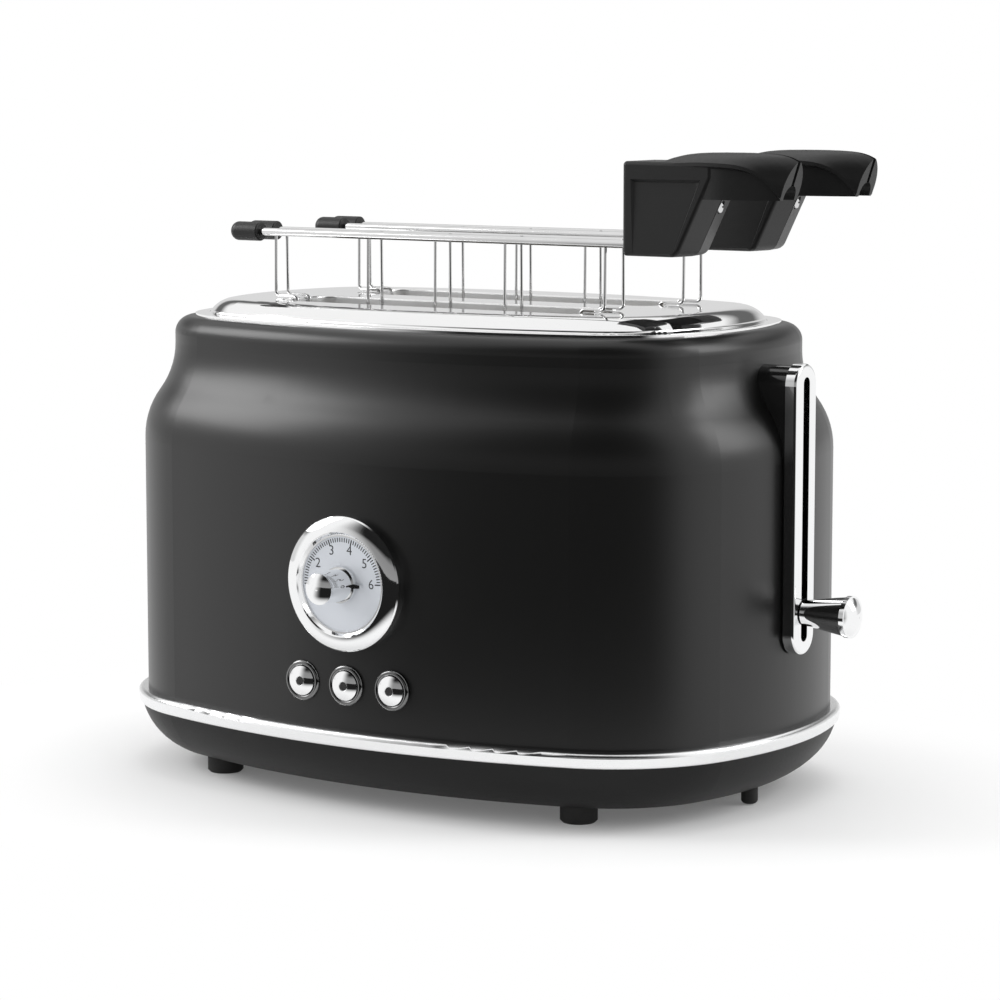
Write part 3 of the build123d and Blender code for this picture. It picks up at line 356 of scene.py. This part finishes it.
# Plated wire: bright, with drawing lines that catch the light
def platedWire(name, color, rough):
    f = newFinish(name)
    drawn = f.noise(900, 3, 0.6)
    haze = f.noise(45, 3)
    return f.set(
        color=f.blend(haze, grey(color * 0.9), grey(color * 1.06)),
        metal=1.0,
        rough=rough + haze * 0.08 + drawn * 0.05,
        normal=f.bump(drawn, 0.06, 0.05 * mm),
    )


# Close turns of wire, drawn round an upright axis; the colour runs from dark to light with each turn: painted shade
# in the grooves between turns and a painted highlight on each turn's crown
def woundWire(name, pitch, low, high):
    f = newFinish(name)
    height = f.axis(f.place(), 2)
    turns = f.maths("SINE", height * (2 * math.pi / pitch)) * 0.5 + 0.5
    return f.set(
        # painted shade between the turns (low) and painted highlight on their crowns (high)
        color=f.blend(turns, low, high),
        metal=1.0,
        rough=0.3 + turns * 0.1,
        normal=f.bump(turns, 0.8, pitch / 3),
    )


# Circuit board: green lacquer with paler tracks under it
def circuitBoard():
    look = {
        "lacquerLow": (0.012, 0.10, 0.04, 1), "lacquerHigh": (0.016, 0.13, 0.05, 1),
        "track": (0.05, 0.20, 0.08, 1),
        "trackScale": 90.0, "trackWidth": 0.03, "weaveScale": 1200, "rough": 0.28,
    }
    f = newFinish("circuitBoard")
    tracks = f.node("TexBrick", {"offset": 0.5}, {
        "Vector": f.place(turn=(math.radians(90), 0, 0)), "Scale": look["trackScale"],
        "Color1": look["lacquerLow"], "Color2": look["lacquerHigh"],
        "Mortar": look["track"], "Mortar Size": look["trackWidth"]})
    weave = f.noise(look["weaveScale"], 2)
    return f.set(color=tracks, rough=look["rough"] + weave * 0.1, normal=f.bump(weave, 0.1, 0.1 * mm))


# Dial face: pale satin disc, in a slightly cloudy bluish white
def dialFace():
    look = {"low": (0.70, 0.73, 0.78, 1), "high": (0.76, 0.79, 0.84, 1), "cloudScale": 60, "grainScale": 1400}
    f = newFinish("dialFace")
    grain = f.noise(look["grainScale"], 2)
    cloud = f.noise(look["cloudScale"], 3)
    return f.set(
        color=f.blend(cloud, look["low"], look["high"]),
        rough=0.26 + grain * 0.12,
        normal=f.bump(grain, 0.04, 0.1 * mm),
        metal=0.15,
    )


# Printed ink, slightly uneven where it was pressed on
def printInk():
    look = {
        "low": (0.0072, 0.0072, 0.009, 1), "high": (0.008, 0.008, 0.010, 1),
        "mottleScale": 2500, "rough": 0.4,
    }
    f = newFinish("blackInk")
    mottle = f.noise(look["mottleScale"], 2)
    return f.set(
        color=f.blend(mottle, look["low"], look["high"]),
        rough=look["rough"] + mottle * 0.15,
        normal=f.bump(mottle, 0.1, 0.05 * mm),
    )


baseLook = {"color": 0.006, "rough": 0.44, "grainScale": 1500, "grain": 0.22, "specular": 0.25}
handleLook = {"color": 0.009, "rough": 0.42, "grainScale": 1100, "grain": 0.16, "specular": 0.4}
dishLook = {"color": 0.012, "rough": 0.4, "grainScale": 2600, "grain": 0.9, "specular": 0.5}
finishes = {
    "shell_paint": shellPaint(),
    "chrome": chrome("brightChrome", 0.03),
    "polished_plate": polishedPlate(),
    "black_plastic": mouldedPlastic("basePlastic", baseLook),
    "foot_rubber": footRubber(),
    "frame_steel": frameSteel(),
    "mica": micaBoard(),
    "heater_alloy": heaterAlloy(),
    "tong_wire": platedWire("platedWire", 0.72, 0.03),
    # dark grey is painted shade between the spring's turns, light grey a painted highlight on them
    "spring_steel": woundWire("springSteel", 2.2 * mm, grey(0.06), grey(0.5)),
    "board_green": circuitBoard(),
    "switch_plastic": glossPlastic("switchPlastic", 0.05, 0.2),
    # dark copper is painted shade between the winding's turns, light copper a painted highlight on them
    "winding": woundWire("copperWinding", 0.5 * mm, (0.20, 0.07, 0.03, 1), (0.52, 0.23, 0.10, 1)),
    "dial_print": dialFace(),
    "ring_gloss": smokedRing(),
    "guide_gloss": glossPlastic("guideGloss", 0.008, 0.14),
}
bandChrome = chrome("bandChrome", 0.2)
springWire = platedWire("springWire", 0.42, 0.2)
handlePlastic = mouldedPlastic("handlePlastic", handleLook)
dishPlate = mouldedPlastic("dishPlate", dishLook)
blackInk = printInk()


# The finish of a CAD node: its material slot's, apart from the tongs' plastic and the trim band
def nodeFinish(name, slot):
    if name == "trim_band":
        return bandChrome
    if name.startswith("tong_") and name.endswith(("_handle", "_cap")):
        return handlePlastic
    return finishes[slot]


for part in frame["record"]["subparts"]:
    node = nodes[part["node"]]
    node.data.materials.clear()
    node.data.materials.append(nodeFinish(part["node"], part["material_slot"]))
print("finishes made:", len(bpy.data.materials))


# Makes a finished piece from a bmesh, in place, with its normals outwards
def addPiece(name, shape, finish, body, smooth=True):
    bmesh.ops.remove_doubles(shape, verts=shape.verts, dist=1e-7)
    bmesh.ops.recalc_face_normals(shape, faces=shape.faces)
    mesh = bpy.data.meshes.new(name)
    shape.to_mesh(mesh)
    shape.free()
    for face in mesh.polygons:
        face.use_smooth = smooth
    mesh.materials.append(finish)
    piece = bpy.data.objects.new(name, mesh)
    bpy.context.scene.collection.objects.link(piece)
    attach(piece, body)
    return piece


# Dial print: fine ticks from the left over the top to the right, and plain numbers inside them
faceLow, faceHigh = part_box("dial_face")
dial = {
    "centre": (Vector(faceLow) + Vector(faceHigh)) / 2,
    "face": faceLow[1],
    "proud": 0.06 * mm,
    "tickOuter": 18.5 * mm,
    "tickLong": 2.7 * mm,
    "tickShort": 1.7 * mm,
    "tickWidth": 0.36 * mm,
    "longWidth": 1.3 * 0.36 * mm,
    "ticksPerNumber": 10,
    "numbers": 6,
    "sweep": 180,
    "lastAngle": 3.5,
    "numberRadius": 14.0 * mm,
    "numberSize": 1.35 * 4.1 * mm,
    "numberThin": 0.05 * mm,
}


def dialTicks(s):
    shape = bmesh.new()
    count = (s["numbers"] - 1) * s["ticksPerNumber"]
    put = Matrix.Translation((s["centre"].x, s["face"] - s["proud"] / 2, s["centre"].z))
    for tick in range(count + 1):
        isLong = tick % s["ticksPerNumber"] == 0
        reach = s["tickLong"] if isLong else s["tickShort"]
        width = s["longWidth"] if isLong else s["tickWidth"]
        size = Matrix.Diagonal((reach, s["proud"], width, 1))
        slide = Matrix.Translation((s["tickOuter"] - reach / 2, 0, 0))
        turn = Matrix.Rotation(-math.radians(s["lastAngle"] + s["sweep"] * tick / count), 4, "Y")
        bmesh.ops.create_cube(shape, size=1, matrix=put @ turn @ slide @ size)
    return shape


addPiece("dial_ticks", dialTicks(dial), blackInk, "housing", smooth=False)


# One number as a mesh, standing upright with its middle at the centre
def numberMesh(text, s, centre):
    curve = bpy.data.curves.new("number" + text, "FONT")
    curve.body = text
    curve.align_x = "CENTER"
    curve.align_y = "CENTER"
    curve.size = s["numberSize"]
    curve.extrude = s["proud"] / 2
    curve.offset = -s["numberThin"]
    curve.resolution_u = 4
    source = bpy.data.objects.new("numberSource" + text, curve)
    bpy.context.scene.collection.objects.link(source)
    bpy.context.view_layer.update()
    mesh = bpy.data.meshes.new_from_object(source)
    bpy.data.objects.remove(source)
    mesh.transform(Matrix.Translation(centre) @ Matrix.Rotation(math.radians(90), 4, "X"))
    mesh.materials.clear()
    return mesh


def dialNumbers(s):
    shape = bmesh.new()
    step = s["sweep"] / (s["numbers"] - 1)
    for number in range(1, s["numbers"] + 1):
        angle = math.radians(s["lastAngle"] + s["sweep"] - step * (number - 1))
        centre = (
            s["centre"].x + s["numberRadius"] * math.cos(angle),
            s["face"] - s["proud"] / 2,
            s["centre"].z + s["numberRadius"] * math.sin(angle),
        )
        mesh = numberMesh(str(number), s, centre)
        shape.from_mesh(mesh)
        bpy.data.meshes.remove(mesh)
    return shape


addPiece("dial_numbers", dialNumbers(dial), blackInk, "housing", smooth=False)
print("dial print done")


# Return spring: a wound coil in place of the CAD tube, carried by the lever
springLow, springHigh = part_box("return_spring")
coil = {
    "foot": Vector(((springLow[0] + springHigh[0]) / 2, (springLow[1] + springHigh[1]) / 2, springLow[2])),
    "radius": (springHigh[0] - springLow[0]) / 2,
    "length": springHigh[2] - springLow[2],
    "wire": 0.8 * mm,
    "sides": 8,
    "turns": 32,
    "stepsPerTurn": 20,
    "travel": 85 * mm,
}
facingFront = Matrix.Rotation(math.radians(90), 4, "X")


def springCoil(s):
    shape = bmesh.new()
    start = Matrix.Translation(s["foot"] + Vector((s["radius"] - s["wire"] / 2, 0, s["wire"] / 2)))
    bmesh.ops.create_circle(shape, segments=s["sides"], radius=s["wire"] / 2, matrix=start @ facingFront)
    steps = s["turns"] * s["stepsPerTurn"]
    bmesh.ops.spin(
        shape,
        geom=shape.verts[:] + shape.edges[:],
        cent=s["foot"],
        axis=(0, 0, 1),
        dvec=(0, 0, (s["length"] - s["wire"]) / steps),
        angle=math.radians(360) * s["turns"],
        steps=steps,
        use_merge=False,
    )
    bmesh.ops.holes_fill(shape, edges=shape.edges, sides=s["sides"])  # the wire's two ends
    return shape


returnCoil = addPiece("return_spring_coil", springCoil(coil), springWire, "lever")
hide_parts("return_spring")
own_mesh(returnCoil)
print("return spring done")


# The dish of each button: a dark grained disc inside a thin bright rim
buttonDish = {
    "radius": 1.72 * mm,
    "thick": 0.12 * mm,
    "floor": 0.24 * mm,
    "sides": 32,
    "rimRadius": 1.84 * mm,
    "rimWire": 0.12 * mm,
    "rimSides": 8,
}


def addButtonDish(name, s):
    low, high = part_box(name)
    centre = (Vector(low) + Vector(high)) / 2
    floor = Vector((centre.x, low[1] + s["floor"], centre.z))
    disc = bmesh.new()
    bmesh.ops.create_cone(
        disc,
        cap_ends=True,
        segments=s["sides"],
        radius1=s["radius"],
        radius2=s["radius"],
        depth=s["thick"],
        matrix=Matrix.Translation(floor - Vector((0, s["thick"] / 2, 0))) @ facingFront,
    )
    addPiece(name + "_dish", disc, dishPlate, name, smooth=False)
    rim = bmesh.new()
    wire = Matrix.Translation((s["rimRadius"], 0, 0)) @ facingFront
    bmesh.ops.create_circle(rim, segments=s["rimSides"], radius=s["rimWire"], matrix=wire)
    bmesh.ops.spin(
        rim,
        geom=rim.edges[:],
        axis=(0, 0, 1),
        angle=math.radians(360),
        steps=s["sides"],
        use_merge=True,
    )
    rim.transform(Matrix.Translation(floor) @ facingFront)
    addPiece(name + "_dish_rim", rim, finishes["chrome"], name)


for name in ("button_defrost", "button_reheat", "button_cancel"):
    addButtonDish(name, buttonDish)
print("button dishes done")


# Studio: a pale floor and a white tent round the object, open and dark in front of it, where only
# reflections see the dark; the camera sees plain white
studio = {
    "floorHalf": 4,
    "floorColor": 0.86,
    "glow": 0.12,  # lifts the shaded floor, so that the shadow stays soft
    "outline": (1, 1.44, 1),
    "whiteFrom": 0.18,
    "whiteTo": 0.32,
    "nearFrom": 0.26,
    "nearTo": 0.40,
    "gap": (0.375, -0.927, 0.0),
    "gapLift": (1, 1, 0.42),
    "gapFrom": 0.42,
    "gapTo": 0.78,
    "back": (-0.55, 0.83, 0),
    "backFrom": 0.1,
    "backTo": 0.4,
    "wall": [(0.0, 0.72), (0.22, 0.70), (0.30, 0.14), (0.42, 0.14), (0.52, 1.0)],
    "opening": [(0.0, 0.30), (0.22, 0.26), (0.36, 0.014)],
    "dark": 0.014,
    "tent": 1.0,
    "ambient": 0.75,
}
white = (1, 1, 1, 1)


# 1 towards the open side of the tent, 0 towards its walls
def openSide(f, where, s):
    lifted = f.vector("MULTIPLY", where, s["gapLift"])
    facing = f.vector("DOT_PRODUCT", f.vector("NORMALIZE", lifted), s["gap"], 1)
    return f.eased(facing, s["gapFrom"], s["gapTo"])


# The floor turns white to the camera away from the object, and dark in a mirror towards the opening
def studioFloor(s):
    shape = bmesh.new()
    bmesh.ops.create_grid(shape, x_segments=1, y_segments=1, size=s["floorHalf"])
    mesh = bpy.data.meshes.new("studioFloor")
    shape.to_mesh(mesh)
    shape.free()
    floor = bpy.data.objects.new("studioFloor", mesh)
    bpy.context.scene.collection.objects.link(floor)
    f = newFinish("studioFloor")
    camera, glossy = f.rays()
    away = f.vector("LENGTH", f.place(s["outline"]), None, 1)
    far = f.eased(away, s["whiteFrom"], s["whiteTo"])
    beyond = f.eased(away, s["nearFrom"], s["nearTo"])
    f.set(color=grey(s["floorColor"]), rough=0.9, specular=0.0)
    plain = f.shader.outputs[0]
    glow = f.node("Emission", None, {"Strength": s["glow"]})
    lit = f.node("AddShader", None, {0: plain, 1: glow})
    toCamera = f.mixShader(far, lit, f.node("Emission", None, {"Strength": 1.0}))
    dark = f.node("Emission", None, {"Strength": s["dark"]})
    toGlossy = f.mixShader(beyond * openSide(f, f.place(), s), toCamera, dark)
    seen = f.mixShader(camera, f.mixShader(glossy, plain, toGlossy), toCamera)
    f.feed(f.tree.nodes["Material Output"].inputs["Surface"], seen)
    mesh.materials.append(f.owner)


studioFloor(studio)


# The world is an even light, the tent in mirrored rays, and white to the camera
def studioWorld(s):
    world = bpy.data.worlds.new("studioWorld")
    bpy.context.scene.world = world
    f = Finish(world, "Background")
    camera, glossy = f.rays()
    direction = f.node("TexCoord", output=0)
    height = f.axis(direction, 2)
    behind = f.vector("DOT_PRODUCT", direction, s["back"], 1)
    backward = f.eased(behind, s["backFrom"], s["backTo"])
    cloth = f.blend(backward, grey(s["tent"]), f.greyRamp(height, s["wall"]))
    tent = f.blend(openSide(f, direction, s), cloth, f.greyRamp(height, s["opening"]))
    ambient = f.node("Background", None, {"Color": white, "Strength": s["ambient"]})
    mirror = f.node("Background", None, {"Color": tent, "Strength": 1.0})
    backdrop = f.node("Background", None, {"Color": white, "Strength": 1.0})
    seen = f.mixShader(camera, f.mixShader(glossy, ambient, mirror), backdrop)
    f.feed(f.tree.nodes["World Output"].inputs["Surface"], seen)


studioWorld(studio)


# Turns an object's own -Z, a lamp's or a camera's view, towards a point
def aimAt(item, place, target):
    item.location = place
    item.rotation_euler = (Vector(target) - Vector(place)).to_track_quat("-Z", "Y").to_euler()
    bpy.context.scene.collection.objects.link(item)


lamps = {
    "leftBox": {"place": (-1.19, -0.48, 0.86), "target": (0, 0, 0.12), "size": (0.8, 0.7), "power": 9.5},
    "rightBox": {"place": (1.18, 0.68, 0.85), "target": (0, 0, 0.12), "size": (0.5, 0.9), "power": 6.5},
    "topBox": {"place": (0.1, 0.4, 1.9), "target": (0, 0, 0.1), "size": (1.6, 1.2), "power": 6},
}


def softLight(name, s):
    data = bpy.data.lights.new(name, "AREA")
    data.shape = "RECTANGLE"
    data.size, data.size_y = s["size"]
    data.energy = s["power"]
    lamp = bpy.data.objects.new(name, data)
    aimAt(lamp, s["place"], s["target"])
    return lamp


boxes = {name: softLight(name, settings) for name, settings in lamps.items()}
boxes["topBox"].visible_glossy = False  # the tent above is what the metal shows

shot = {
    "place": (0.76826, -1.16527, 0.29592),
    "target": (-0.00748, 0.01167, 0.11451),
    "lens": 121.8,
    "sensor": 36,
    "nearest": 0.05,
}


def photoCamera(s):
    data = bpy.data.cameras.new("photoCamera")
    data.lens = s["lens"]
    data.sensor_width = s["sensor"]
    data.clip_start = s["nearest"]
    camera = bpy.data.objects.new("photoCamera", data)
    aimAt(camera, s["place"], s["target"])
    return camera


bpy.context.scene.camera = photoCamera(shot)
bpy.context.scene.view_settings.view_transform = "Standard"
print("studio done")
